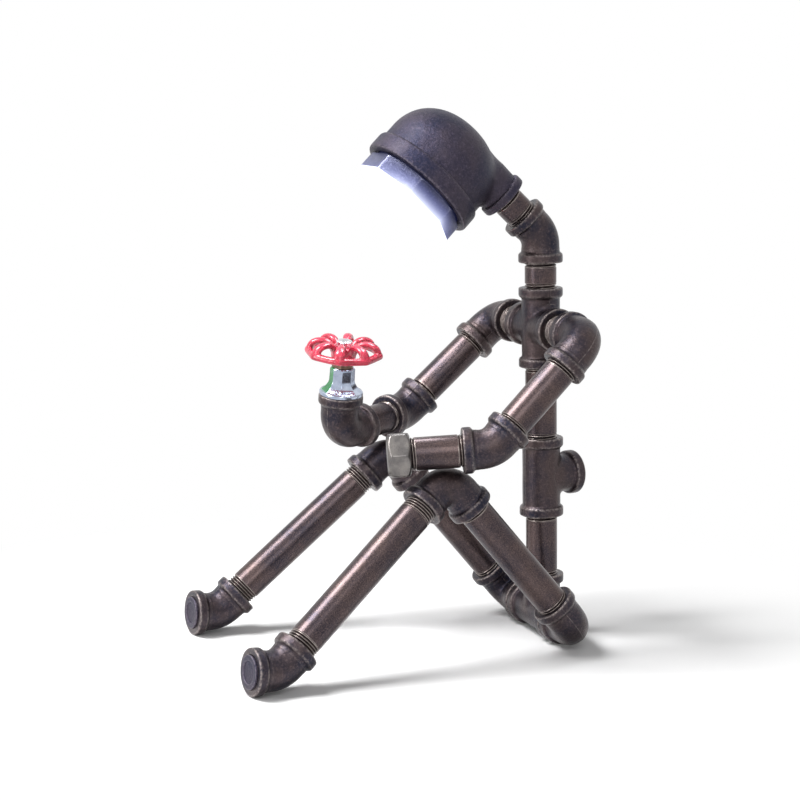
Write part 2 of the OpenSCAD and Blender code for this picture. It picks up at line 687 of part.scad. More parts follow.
right_hand_elbow();
valve_bonnet();
packing_nut();
dimmer_switch();
valve_stem();
handwheel();
wheel_nut();
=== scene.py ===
# %% [markdown]
# # A desk lamp in the shape of a seated robot
#
# The lamp is screwed together from banded pipe fittings and short pipes under one dark lacquer.
# This lesson dresses its exact solids: each visible fitting becomes a smooth casting with the soft
# corners, parting lines and grain that a foundry leaves, each pipe gets its cut thread, and each
# surface a finish made of nodes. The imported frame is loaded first, because every new piece rides on
# one of its bodies.
# %% Load the frame
import json
import math

import bmesh
import bpy
import numpy as np
from mathutils import Matrix, Vector


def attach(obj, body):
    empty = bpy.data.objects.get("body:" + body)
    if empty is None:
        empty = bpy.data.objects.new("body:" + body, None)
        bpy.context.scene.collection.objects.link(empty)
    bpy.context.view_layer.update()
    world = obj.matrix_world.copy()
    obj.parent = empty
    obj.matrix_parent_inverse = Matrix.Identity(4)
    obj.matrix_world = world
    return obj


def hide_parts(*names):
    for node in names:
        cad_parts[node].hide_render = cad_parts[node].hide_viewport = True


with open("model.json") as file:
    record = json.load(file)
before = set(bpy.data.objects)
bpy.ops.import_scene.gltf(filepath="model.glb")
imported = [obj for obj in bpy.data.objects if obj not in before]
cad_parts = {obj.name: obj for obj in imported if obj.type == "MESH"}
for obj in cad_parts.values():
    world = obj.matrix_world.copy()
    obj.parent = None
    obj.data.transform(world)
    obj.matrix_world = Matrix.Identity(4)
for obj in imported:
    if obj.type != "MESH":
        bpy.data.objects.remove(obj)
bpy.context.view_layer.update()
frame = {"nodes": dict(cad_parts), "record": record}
body_of = {node: body for body, nodes in frame["record"]["behaviour"]["bodies"].items() for node in nodes}

# %% [markdown]
# ## The camera
#
# The photograph was taken from the lamp's left front with a long lens, from a little above its
# head. A camera looks along its own -Z, so a quarter turn about X stands it upright before it is
# swung round.
# %% Camera


def put_in_scene(name, data):
    """An object for a camera, a mesh or a lamp, linked to the scene."""
    made = bpy.data.objects.new(name, data)
    bpy.context.scene.collection.objects.link(made)
    return made


CAMERA_PLACE = (1.2077, -0.4410, 0.3548)
CAMERA_SWING, CAMERA_DIP, CAMERA_ROLL = 70.227, 8.342, 1.322
camera_data = bpy.data.cameras.new("camera")
camera_data.lens, camera_data.sensor_width = 89.44, 36.0
camera = put_in_scene("camera", camera_data)
camera.matrix_world = (Matrix.Translation(CAMERA_PLACE) @ Matrix.Rotation(math.radians(CAMERA_SWING), 4, "Z")
                       @ Matrix.Rotation(math.radians(90 - CAMERA_DIP), 4, "X")
                       @ Matrix.Rotation(math.radians(CAMERA_ROLL), 4, "Z"))
bpy.context.scene.camera = camera
print("camera:", camera_data.lens, "mm lens at", CAMERA_PLACE)

# %% [markdown]
# ## Where the pieces go
#
# A fitting's place is a chain of turns and steps that starts at the hip tee and follows the pipes.
# Each link is a 4 by 4 matrix, and their product carries a piece from the origin to its seat.
# Lengths here are millimetres; only a finished mesh is in metres.
# %% Turns and steps
MM = 0.001


def turned(axis, degrees):
    """Matrix of a turn about one axis: the other two axes mix by the angle's cosine and sine."""
    return np.array(Matrix.Rotation(math.radians(degrees), 4, axis))


def moved(x=0, y=0, z=0):
    """Matrix of a step: the last column holds the way to go."""
    return np.array(Matrix.Translation((x, y, z)))


# %% The figure's chain of fittings
BAND_R, REACH_90, REACH_45 = 15.0, 27.0, 19.0
HIP_GAP, SHOULDER_GAP = 1.5, 14
HIP_X, SHOULDER_X = 2 * REACH_90 + HIP_GAP, 2 * REACH_90 + SHOULDER_GAP
BACK_TEE_Z, CHEST_Z, NECK_Z = 94.5, 196.503, 259.103
SPINE_LEAN, BACK_TURN, CHEST_TURN, NECK_TURN, HAND_TURN = 2.3, 192, 3, 6, 22
THIGH_SLOPE, THIGH_LEN, UPPER_ARM_LEN = 48.5, 142.0, 95.5
LEFT, RIGHT = 1, -1
SIDES = {"left": LEFT, "right": RIGHT}
SPLAY = {LEFT: 13, RIGHT: 0}
FOOT_TURN = {LEFT: -1, RIGHT: -12}
ARM_LIFT = {LEFT: 46.0, RIGHT: 49.6}
ARM_TURN = {LEFT: 29, RIGHT: 43}
FOREARM_LEN = {LEFT: 67.0, RIGHT: 70.5}
HAND_CAP_LEN = 15.0

seat = moved(-14.5, 105.8, BAND_R)
hip_tee_at = seat @ turned("X", SPINE_LEAN - 90) @ turned("Y", 90)


def spine(z):
    """Place on the spine, which leans forward: a step along it after one small turn."""
    return seat @ turned("X", SPINE_LEAN) @ moved(z=z)


def hip(side):
    """Hip elbow's centre with +Z along the thigh."""
    return seat @ moved(side * HIP_X) @ turned("X", 90 - THIGH_SLOPE)


def knee(side):
    """Knee elbow's centre: one thigh further, turned out by the splay."""
    return hip(side) @ moved(z=THIGH_LEN) @ turned("Z", SPLAY[side])


def shin_length(side):
    """Shin from knee to ankle: the height to lose, over the share of it that each step down loses."""
    slope, splay, foot = (math.radians(v) for v in (THIGH_SLOPE, SPLAY[side] * side, FOOT_TURN[side]))
    rise = (math.sin(slope) * math.cos(foot) - math.cos(splay) * math.cos(slope)
            - math.sin(splay) * math.cos(slope) * math.sin(foot)) / math.sqrt(2)
    ankle = BAND_R * math.sqrt(1 - rise * rise) - min((REACH_45 - 5.3) * rise, (REACH_45 - 0.7) * rise)
    return (BAND_R + THIGH_LEN * math.sin(slope) - ankle) / (math.cos(slope) * math.cos(splay))


def ankle(side):
    """Ankle elbow's centre at the shin's end."""
    return knee(side) @ turned("X", 90) @ moved(z=shin_length(side)) @ turned("Z", 180 + FOOT_TURN[side])


def chest(side):
    """Chest cross's centre with +Z out to one side."""
    return spine(CHEST_Z) @ turned("Z", CHEST_TURN) @ turned("Y", side * 90)


def shoulder(side):
    """Shoulder elbow's centre, turned so that the arm hangs forward by its lift."""
    return chest(side) @ moved(z=SHOULDER_X) @ turned("Z", side * (90 - ARM_LIFT[side]))


def arm_elbow(side):
    """Arm elbow's centre at the end of the upper arm."""
    return shoulder(side) @ turned("X", 90) @ moved(z=UPPER_ARM_LEN) @ turned("Z", side * (ARM_TURN[side] - 90))


def forearm(side):
    """Same centre with +Z along the forearm."""
    return arm_elbow(side) @ turned("X", 45)


hand_at = forearm(RIGHT) @ moved(z=FOREARM_LEN[RIGHT]) @ turned("Z", HAND_TURN)
valve_at = hand_at @ turned("X", 90)
neck_at = spine(NECK_Z) @ turned("Z", -NECK_TURN)
nape_at = neck_at @ turned("X", 45)
HEAD_REACH = 84.0
head_at = nape_at @ moved(z=HEAD_REACH) @ turned("Z", NECK_TURN)
face_at = head_at @ turned("X", 90)
back_tee_at = spine(BACK_TEE_Z) @ turned("Z", BACK_TURN)
branch_at = back_tee_at @ turned("X", 90)
print("head and valve at", np.round(head_at[:3, 3], 1), np.round(valve_at[:3, 3], 1), "mm")

# %% [markdown]
# ## Surfaces from grids of points
#
# Nearly every piece is a kind of tube, so one helper makes quads from a grid of points that runs
# round the tube one way and along its profile the other. A profile that comes back to its start
# makes a closed skin with an inside wall. The sign of the quads' volume tells which way they face.
# %% From grid to mesh


def skin(points, loop=True):
    """Quads between neighbouring rows and columns of a grid (rows, around, 3); the last column joins the first."""
    rows, around, _ = points.shape
    i, j = np.meshgrid(np.arange(rows if loop else rows - 1), np.arange(around), indexing="ij")
    down, right = (i + 1) % rows, (j + 1) % around
    quads = np.stack([i * around + j, i * around + right, down * around + right, down * around + j], -1).reshape(-1, 4)
    verts = points.reshape(-1, 3)
    a, b, c, d = (verts[quads[:, k]] for k in range(4))
    volume = (a * (np.cross(b, c) + np.cross(c, d))).sum()
    return verts, quads if volume > 0 else quads[:, ::-1]


def circle(n):
    """Even angles once round."""
    return np.linspace(0, 2 * np.pi, n, endpoint=False)


def smooth_corners(corners):
    """Polyline through (along, radius, rounding) corners, each cut by a small curve between its two sides."""
    corners = np.asarray(corners, float)
    out = [corners[:1, :2]]
    for before, (x, y, rounding), after in zip(corners[:-2], corners[1:-1], corners[2:]):
        corner = np.array([x, y])
        back, on = before[:2] - corner, after[:2] - corner
        reach = min(rounding, 0.48 * np.hypot(*back), 0.48 * np.hypot(*on))
        start, end = corner + back / np.hypot(*back) * reach, corner + on / np.hypot(*on) * reach
        t = np.linspace(0, 1, 5)[:, None]
        out.append((1 - t) ** 2 * start + 2 * t * (1 - t) * corner + t * t * end if reach > 0 else corner[None])
    out.append(corners[-1:, :2])
    return np.vstack(out)


def dense(line, step):
    """The same polyline with points at most one step apart."""
    gaps = np.hypot(*np.diff(line, axis=0).T)
    parts = [a + (b - a) * np.arange(n)[:, None] / n
             for a, b, n in zip(line[:-1], line[1:], np.maximum(1, np.ceil(gaps / step)).astype(int))]
    return np.vstack(parts + [line[-1:]])


def placed(shell, place):
    """A skin carried to its seat by a matrix."""
    verts, quads = shell
    return verts @ place[:3, :3].T + place[:3, 3], quads


def joined(shells):
    """Several skins as one: each one's faces count on from the points before it."""
    counts = np.cumsum([0] + [len(verts) for verts, _ in shells])
    return np.vstack([verts for verts, _ in shells]), np.vstack([q + n for (_, q), n in zip(shells, counts)])


def piece(solid, made_how, shells, place, material, crease=38):
    """One object from skins in millimetres round the origin.

    A matrix seats it, and it replaces its solid and rides on that solid's body.
    """
    own, quads = joined(shells)
    mesh = bpy.data.meshes.new(solid + "_" + made_how)
    mesh.from_pydata((placed((own, quads), place)[0] * MM).tolist(), [], quads.tolist())
    mesh.attributes.new("own_place", "FLOAT_VECTOR", "POINT").data.foreach_set("vector", own.ravel())
    weld(mesh)
    mark_rubbed(mesh)
    mesh.shade_smooth()
    mesh.set_sharp_from_angle(angle=math.radians(crease))
    mesh.materials.append(material)
    made = put_in_scene(mesh.name, mesh)
    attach(made, body_of[solid])
    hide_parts(solid)
    print(made.name, "has", len(quads), "faces and rides on", body_of[solid])


def weld(mesh):
    """Merges the points that fell on one place, which closes the poles."""
    work = bmesh.new()
    work.from_mesh(mesh)
    bmesh.ops.remove_doubles(work, verts=work.verts, dist=1e-7)
    work.to_mesh(mesh)
    work.free()


def mark_rubbed(mesh):
    """Stores how much each point sticks out.

    Twice the drop to its neighbours over their distance squared is the curvature. It is stretched so that a tube
    gets 0 and an edge of 2 mm radius or less gets 1.
    """
    n = len(mesh.vertices)
    co, normal, ends = np.empty(3 * n), np.empty(3 * n), np.empty(2 * len(mesh.edges), np.int32)
    mesh.vertices.foreach_get("co", co)
    mesh.vertex_normals.foreach_get("vector", normal)
    mesh.edges.foreach_get("vertices", ends)
    co, normal, (a, b) = co.reshape(-1, 3) / MM, normal.reshape(-1, 3), ends.reshape(-1, 2).T
    step = co[b] - co[a]
    size = (step ** 2).sum(1) + 1e-3
    drop = (np.bincount(a, -2 * (normal[a] * step).sum(1) / size, n)
            + np.bincount(b, 2 * (normal[b] * step).sum(1) / size, n)) / np.maximum(np.bincount(ends, minlength=n), 1)
    mesh.attributes.new("rubbed", "FLOAT", "POINT").data.foreach_set("value", np.clip((drop - 0.09) / 0.32, 0, 1))


# %% [markdown]
# ## A profile carried along a path
#
# An elbow, a tee's run and a straight pipe are one idea: at each distance along a centre line, a
# circle of the profile's radius is drawn across it. An elbow's line is straight, then part of a
# ring, then straight again. A casting is never quite even: its radius swells and shrinks in slow
# waves, and a fine ridge stands where the halves of the mould met.
# %% Paths and castings


def bent_path(turn, bend, reach):
    """Centre line of an elbow: up to the bend, round part of a ring, and out along the turned direction."""
    t = bend * math.tan(math.radians(turn) / 2)
    arc = bend * math.radians(turn)

    def at(s):
        """Point and normal at distance s from the first mouth: the angle grows only between the two legs."""
        angle = np.clip((s - (reach - t)) / arc, 0, 1) * math.radians(turn)
        before, after = np.minimum(s - (reach - t), 0), np.maximum(s - (reach - t) - arc, 0)
        normal = np.stack([0 * s, np.cos(angle), np.sin(angle)], -1)
        tangent = np.stack([0 * s, -np.sin(angle), np.cos(angle)], -1)
        centre = np.array([0, -bend, -t]) + bend * normal + (before + after)[:, None] * tangent
        return centre, normal

    return at, 2 * (reach - t) + arc


def straight_path(start):
    """Centre line along +Z from a start height."""
    def at(s):
        """Point and normal: a step up for each step along."""
        return np.stack([0 * s, 0 * s, s + start], -1), np.stack([0 * s, 1 + 0 * s, 0 * s], -1)
    return at


def carried(profile, path, around=72, form=None, part_turn=0.0):
    """Grid of points: centre plus radius times the circle's direction.

    The radius is changed by form(along, angle, radius). The angles crowd near the two parting lines: their step is
    one less a share of the cosine of twice the angle.
    """
    s, r = profile.T
    even = circle(around)
    angle = even - (0.35 * np.sin(2 * even) if form else 0) + math.radians(part_turn)
    centre, normal = path(s)
    radius = r[:, None] + (form(s[:, None], angle[None] - math.radians(part_turn), r[:, None]) if form else 0)
    across = np.cos(angle)[None, :, None] * normal[:, None] + np.sin(angle)[None, :, None] * np.array([1.0, 0, 0])
    return centre[:, None] + radius[..., None] * across


def cast_skin(seed, parting=0.12, swell=0.06):
    """Radius change of a casting: three slow waves and a narrow ridge at the parting."""
    draws = np.random.default_rng(seed).uniform(0, 2 * np.pi, 6)

    def form(s, angle, r):
        """Sum of the waves plus the ridge, which is a bell curve of the distance from the mould's plane."""
        waves = (np.sin(2 * angle + s / 7 + draws[0]) + np.sin(3 * angle - s / 5 + draws[1])
                 + np.sin(5 * angle + s / 3.1 + draws[2])) / 3
        ridge = parting * np.exp(-(r * np.sin(angle) / 0.4) ** 2)
        return np.where(r > 12, swell * waves + ridge * np.where(r > 14, 0.4, 1.0), 0)

    return form


def lathed(corners, around=96, loop=True):
    """A piece turned on a lathe: its (height, radius, rounding) corners run round +Z."""
    return skin(carried(dense(smooth_corners(corners), 1.2), straight_path(0), around), loop)


# %% [markdown]
# ## The mouth of a fitting
#
# Every mouth ends in a thick band with soft edges, which grows out of the body through a small
# hollow. The corners below run from inside the socket round its bevelled rim and back to the
# body, each with its rounding.
# %% Mouth profile
BAND_W, LEG_R, BODY_R, BODY_FROM = 6.0, 12.9, 12.7, 10.4
SOCKET_R, PASSAGE_R, SOCKET_DEEP, RIM_R = 9.55, 8.2, 5.0, BAND_R - 0.1


def mouth(leg_r=LEG_R):
    """Corners (distance from the mouth, radius, rounding) from the passage round the band to the leg."""
    return [(SOCKET_DEEP + 1.5, PASSAGE_R, 0), (SOCKET_DEEP, PASSAGE_R, 0.2), (SOCKET_DEEP, SOCKET_R, 0.2),
            (1.6, SOCKET_R, 0.2), (0.0, SOCKET_R + 1.5, 0.35), (0.0, RIM_R, 1.25), (BAND_W - 0.15, RIM_R, 1.15),
            (BAND_W + 1.25, leg_r, 1.8), (BAND_W + 3.2, leg_r, 0)]


def two_mouths(length, middle):
    """Closed profile of a fitting with a mouth at each end: out along the outside, back through the passage."""
    first = mouth()
    last = [(length - s, r, k) for s, r, k in first[::-1]]
    return dense(smooth_corners(first + middle + last + first[:1]), 1.1)[:-1]


quarter, eighth = (90, 14.2, REACH_90), (45, 19.0, REACH_45)
print("elbows run", *(round(bent_path(*bend)[1], 1) for bend in (quarter, eighth)), "mm along their middles")

# %% [markdown]
# ## Elbows, tees and the cross
#
# With a mouth and a path, an elbow is easy. A tee also needs a branch, a tube that grows out of the
# run's round side through a hollow fillet. Each line of the branch starts on the run's surface a
# few millimetres outside the branch, bends through the corner and leaves along the branch, as a
# curve with three control points does.
# %% Branches


def elbow(turn, bend, reach, seed):
    """A cast elbow: its profile carried round the bend."""
    path, length = bent_path(turn, bend, reach)
    profile = two_mouths(length, [(BODY_FROM, BODY_R, 1.2), (length - BODY_FROM, BODY_R, 1.2)])
    return skin(carried(profile, path, 88, cast_skin(seed)))


def run(seed, part_turn):
    """The straight way through a tee or the cross."""
    profile = two_mouths(2 * REACH_90, [(REACH_90, LEG_R, 0)])
    return skin(carried(profile, straight_path(-REACH_90), 88, cast_skin(seed), part_turn))


def branch(r, foot, seed):
    """A tube along +Z out of a run, whose surface stands height(x) above its middle.

    Each line follows a three-point curve from the foot on the body to the tube, then the mouth's profile.
    """
    def height(x):
        """Height of the run's side, which lies along Y: the circle's equation solved for it."""
        return np.sqrt(np.maximum((LEG_R - 0.04) ** 2 - x ** 2, 2.0))

    even = circle(96)
    angle = even + 0.35 * np.sin(2 * even)
    c, s = np.cos(angle), np.sin(angle)
    corner = height(r * c)
    slope = (corner - height((r + 0.2) * c)) / 0.2
    spread = foot / (1 + slope ** 2)
    t = np.linspace(0, 1, 10)[:, None]
    low = height((r + spread) * c)
    radius = (1 - t) ** 2 * (r + spread) + 2 * t * (1 - t) * r + t * t * r
    up = (1 - t) ** 2 * low + 2 * t * (1 - t) * corner + t * t * (corner + foot)
    lip = dense(smooth_corners([(REACH_90 - d, q, k) for d, q, k in mouth(r)[::-1]]), 1.1)
    radius = np.vstack([radius, np.repeat(lip[:, 1:], len(angle), 1)])
    up = np.vstack([up, np.maximum(np.repeat(lip[:, :1], len(angle), 1), np.where(lip[:, 1:] > 12, up[-1:] + 0.01, 0))])
    inner = np.linspace(1, 0, 3)[:, None]
    radius = np.vstack([radius, np.full((3, len(angle)), PASSAGE_R)])
    up = np.vstack([up, inner * (REACH_90 - SOCKET_DEEP - 2) + (1 - inner) * np.minimum(corner, low) * 0.6])
    radius = radius + cast_skin(seed)(up, angle[None] + np.pi / 2, radius)
    return skin(np.stack([radius * c, radius * s, up], -1))


def tee(turns, seed):
    """A run with a branch towards each listed turn, 0 being -Y."""
    shells = [run(seed, turns[0])]
    for n, a in enumerate(turns):
        shells.append(placed(branch(LEG_R - 0.3, 4.2, seed + 1 + n), turned("Z", a) @ turned("X", 90)))
    return shells


print("a cross has", sum(len(q) for _, q in tee([90, -90], 1)), "quads")

# %% [markdown]
# ## Finishes
#
# The figure wears one dark lacquer, yet it looks like two metals: the cast fittings are grainy and
# mottled, and the drawn pipes even and silky. A finish is a small graph of nodes. Noise on Object
# coordinates, which are metres here, gives grain and mottling their real size, and an attribute on
# the points says where corners are rubbed.
# %% Node helpers


def plug(tree, socket, value):
    """Links another node's output to a socket, or sets a plain value; a colour gets its fourth number."""
    if isinstance(value, bpy.types.NodeSocket):
        tree.links.new(value, socket)
    else:
        socket.default_value = (*value, 1) if socket.type == "RGBA" else value


def node(tree, kind, inputs=None, **fields):
    """Adds a shader node, sets its fields and fills its inputs."""
    made = tree.nodes.new("ShaderNode" + kind)
    for key, value in fields.items():
        setattr(made, key, value)
    for key, value in (inputs or {}).items():
        plug(tree, made.inputs[key], value)
    return made


def maths(tree, how, a, b):
    """A sum, a product or the like of two numbers."""
    return node(tree, "Math", {0: a, 1: b}, operation=how).outputs[0]


def vector_maths(tree, how, a, b=(0, 0, 0)):
    """The same on two vectors. A length or a dot product comes out as a number."""
    made = node(tree, "VectorMath", {0: a, 1: b}, operation=how)
    return made.outputs["Value" if how in ("LENGTH", "DOT_PRODUCT") else "Vector"]


def stored(tree, name, output="Fac"):
    """A number or a place stored on the points."""
    return node(tree, "Attribute", attribute_name=name).outputs[output]


def noise(tree, scale, detail=3.0, roughness=0.55):
    """Noise on Object coordinates, scale in waves per metre."""
    at = node(tree, "TexCoord").outputs["Object"]
    inputs = {"Vector": at, "Scale": scale, "Detail": detail, "Roughness": roughness}
    return node(tree, "TexNoise", inputs).outputs["Fac"]


def ramp(tree, value, low, high, start=0.35, end=0.65):
    """Two colours with a soft change between start and end of the value."""
    made = node(tree, "ValToRGB", {"Fac": value})
    for stop, place, colour in zip(made.color_ramp.elements, (start, end), (low, high)):
        stop.position, stop.color = place, (*colour, 1)
    return made.outputs["Color"]


def span(tree, value, low, high, start=0.3, end=0.7):
    """A value stretched from start..end to low..high and held inside."""
    inputs = {"Value": value, "From Min": start, "From Max": end, "To Min": low, "To Max": high}
    return node(tree, "MapRange", inputs).outputs["Result"]


def blended(tree, factor, a, b):
    """Colour b over colour a by a factor."""
    return node(tree, "Mix", {0: factor, 6: a, 7: b}, data_type="RGBA").outputs[2]


def bumped(tree, layers):
    """A normal roughened by layers of (height, strength, depth in metres), each on top of the one before."""
    normal = None
    for height, strength, depth in layers:
        inputs = {"Height": height, "Strength": strength, "Distance": depth}
        if normal:
            inputs["Normal"] = normal
        normal = node(tree, "Bump", inputs).outputs["Normal"]
    return normal


def finish(name, build, **constants):
    """A material whose shader gets its linked sockets from build(tree) and its plain ones as constants."""
    made = bpy.data.materials.new(name)
    made.use_nodes = True
    tree = made.node_tree
    shader = tree.nodes["Principled BSDF"]
    for key, value in (build(tree) | constants).items():
        plug(tree, shader.inputs[key.replace("_", " ")], value)
    return made


# %% [markdown]
# ### Cast iron under lacquer
#
# Sand leaves a skin like fine orange peel, so one noise has a grain of about a millimetre and
# another of a third of that. The colour wanders between warm brown and bluish black over a
# centimetre or two, and rubbed corners let the metal through.
# %% Lacquered castings


def cast_graph(dark, warm, rub, grain=1.0, rough=(0.27, 0.42)):
    """Sockets of a lacquered casting: mottled colour, rubbed corners, orange peel and grain."""
    def build(tree):
        """The sockets, made in one tree."""
        mottle = noise(tree, 42, 4)
        fine = noise(tree, 620, 4, roughness=0.7)
        speck = noise(tree, 2100, 2)
        colour = ramp(tree, mottle, dark, warm, 0.36, 0.62)
        colour = blended(tree, span(tree, fine, 0.0, 0.6, 0.5, 0.72), colour, tuple(2.2 * v for v in warm))
        colour = blended(tree, span(tree, speck, 0.0, 0.7, 0.52, 0.7), colour, tuple(0.4 * v for v in dark))
        worn = maths(tree, "MULTIPLY", stored(tree, "rubbed"), span(tree, fine, 0.1, 1.0, 0.4, 0.62))
        colour = blended(tree, worn, colour, rub)
        layers = [(noise(tree, 95, 2), 0.25 * grain, 0.0016), (fine, 0.5 * grain, 0.0005),
                  (speck, 0.4 * grain, 0.00014)]
        return {"Base Color": colour, "Roughness": span(tree, fine, *rough), "Normal": bumped(tree, layers)}
    return build


cast = finish("lacquered_casting", cast_graph((0.017, 0.017, 0.031), (0.066, 0.047, 0.047), (0.25, 0.215, 0.205)),
              Metallic=0.75, Coat_Weight=0.08, Coat_Roughness=0.25, Specular_IOR_Level=0.3)
head_cast = finish(
    "lacquered_head_casting",
    cast_graph((0.015, 0.016, 0.039), (0.051, 0.041, 0.059), (0.15, 0.13, 0.16), 1.8, (0.40, 0.54)),
    Metallic=0.7, Coat_Weight=0.05, Coat_Roughness=0.3, Specular_IOR_Level=0.3)
print("castings:", cast.name, head_cast.name)

# %% [markdown]
# ### Drawn pipe
#
# A drawn pipe's lacquer lies even, with faint streaks along it. Their noise reads the coordinates
# that the pipe's points had before it was carried to its seat, stretched along the pipe.
# %% Lacquered pipe


def pipe_graph(tree):
    """Sockets of a lacquered pipe: even colour, fine grain and streaks along the pipe."""
    own = stored(tree, "own_place", "Vector")
    own = node(tree, "Mapping", {"Vector": own, "Scale": (1, 1, 0.05)}).outputs["Vector"]
    streaks = node(tree, "TexNoise", {"Vector": own, "Scale": 1.1, "Detail": 4.0}).outputs["Fac"]
    fine = noise(tree, 1500, 3, roughness=0.7)
    colour = ramp(tree, noise(tree, 36, 3), (0.026, 0.023, 0.034), (0.076, 0.053, 0.052), 0.34, 0.62)
    colour = blended(tree, span(tree, streaks, 0.0, 0.25, 0.45, 0.8), colour, (0.13, 0.10, 0.09))
    colour = blended(tree, span(tree, fine, 0.0, 0.6, 0.5, 0.68), colour, (0.19, 0.13, 0.12))
    colour = blended(tree, span(tree, fine, 0.6, 0.0, 0.32, 0.46), colour, (0.014, 0.012, 0.016))
    colour = blended(tree, stored(tree, "rubbed"), colour, (0.30, 0.26, 0.24))
    return {"Base Color": colour, "Roughness": span(tree, fine, 0.25, 0.38),
            "Normal": bumped(tree, [(streaks, 0.1, 0.0003), (fine, 0.28, 0.0001)])}


drawn = finish("lacquered_pipe", pipe_graph,
               Metallic=0.8, Coat_Weight=0.08, Coat_Roughness=0.2, Specular_IOR_Level=0.3)

# %% [markdown]
# ### Small metals, paint and rubber
#
# The small pieces differ only in numbers, so one table holds them. Thick red enamel pools on its
# casting, so its colour follows the waves of its surface. On the plated valve one flat is tinted
# green and less metallic, which the flat's angle round the axis picks out.
# %% The other finishes


def plain_graph(low, high, rough, scale, depth=0.0001):
    """Sockets of a simple finish: two near colours, a fine grain and a varying roughness."""
    def build(tree):
        """The sockets, made in one tree."""
        grain = noise(tree, 1300, 3)
        return {"Base Color": ramp(tree, noise(tree, scale, 4), low, high), "Roughness": span(tree, grain, *rough),
                "Normal": bumped(tree, [(noise(tree, scale, 2), 0.2, depth * 4), (grain, 0.2, depth)])}
    return build


# name: low colour, high colour, roughness, waves per metre, share of metal
PLAIN = {
    "satin_cap": ((0.12, 0.113, 0.112), (0.21, 0.195, 0.185), (0.26, 0.38), 120, 0.9),
    "aged_brass": ((0.15, 0.095, 0.07), (0.30, 0.21, 0.15), (0.28, 0.48), 260, 0.9),
    "bright_nut": ((0.60, 0.62, 0.66), (0.78, 0.80, 0.84), (0.14, 0.28), 300, 1.0),
    "turned_steel": ((0.40, 0.40, 0.42), (0.58, 0.58, 0.60), (0.2, 0.36), 400, 1.0),
    "black_rubber": ((0.012, 0.012, 0.013), (0.024, 0.024, 0.026), (0.5, 0.7), 240, 0.0),
    "wire_insulation": ((0.50, 0.47, 0.40), (0.62, 0.59, 0.52), (0.4, 0.55), 200, 0.0),
    "lamp_board_white": ((0.78, 0.79, 0.77), (0.88, 0.89, 0.87), (0.35, 0.5), 200, 0.0),
    "cast_aluminium": ((0.58, 0.59, 0.61), (0.74, 0.75, 0.77), (0.3, 0.45), 300, 1.0),
    "switch_black": ((0.02, 0.02, 0.022), (0.035, 0.035, 0.04), (0.3, 0.45), 200, 0.0),
}
plain = {name: finish(name, plain_graph(*look), Metallic=metal) for name, (*look, metal) in PLAIN.items()}
GREEN_FLAT_TURN, GREEN_FROM_Z = math.radians(61.5), 29.6


def plated_graph(tree):
    """Sockets of the plated valve: bluish metal, and one flat tinted green, unevenly, and less metallic.

    A point is on that flat when its direction from the axis, dotted with the flat's, is more than a set cosine.
    """
    sockets = plain_graph((0.36, 0.41, 0.53), (0.54, 0.60, 0.72), (0.12, 0.26), 90, 0.00008)(tree)
    own = stored(tree, "own_place", "Vector")
    level = vector_maths(tree, "MULTIPLY", own, (1, 1, 0))
    along = vector_maths(tree, "DOT_PRODUCT", level, (math.cos(GREEN_FLAT_TURN), math.sin(GREEN_FLAT_TURN), 0))
    share = maths(tree, "DIVIDE", along, vector_maths(tree, "LENGTH", level))
    height = node(tree, "SeparateXYZ", {0: own}).outputs["Z"]
    green = maths(tree, "MULTIPLY", span(tree, share, 0, 1, 0.918, 0.928),
                  span(tree, height, 0, 1, GREEN_FROM_Z, GREEN_FROM_Z + 0.6))
    green = maths(tree, "MULTIPLY", green, span(tree, noise(tree, 700, 3), 1.0, 0.75, 0.55, 0.7))
    sockets["Base Color"] = blended(tree, green, sockets["Base Color"], (0.035, 0.20, 0.07))
    sockets["Metallic"] = span(tree, green, 1.0, 0.1, 0.0, 1.0)
    return sockets


plated = finish("plated_valve", plated_graph)


def enamel_graph(tree):
    """Sockets of thick red paint: it pools, so its colour deepens and its surface waves."""
    wave = noise(tree, 210, 3)
    colour = ramp(tree, wave, (0.30, 0.005, 0.026), (0.58, 0.020, 0.060), 0.3, 0.7)
    colour = blended(tree, span(tree, noise(tree, 900, 3), 0.0, 0.5, 0.6, 0.8), colour, (0.72, 0.14, 0.20))
    return {"Base Color": colour, "Roughness": span(tree, wave, 0.22, 0.36),
            "Normal": bumped(tree, [(wave, 0.5, 0.0006), (noise(tree, 900, 2), 0.25, 0.00012)])}


enamel = finish("red_enamel", enamel_graph, Coat_Weight=0.45, Coat_Roughness=0.15, Specular_IOR_Level=0.5)

# %% [markdown]
# ### The lit lens and its bushing
#
# The lamp is on. Its lens spreads the light, so it glows white all over, with a faint cloud in it.
# The iron ring round it is lit by the lamp at its front and its two sides, and that light is painted
# on as a faint glow, by how far a point lies along the head's own axes.
# %% Lit finishes


def along_axis(tree, place, column, start, end):
    """How far a point lies along one axis of a matrix, stretched so that start..end (mm) is 0..1."""
    at = node(tree, "TexCoord").outputs["Object"]
    away = vector_maths(tree, "SUBTRACT", at, tuple(place[:3, 3] * MM))
    along = vector_maths(tree, "DOT_PRODUCT", away, tuple(place[:3, column]))
    return span(tree, along, 0.0, 1.0, start * MM, end * MM)


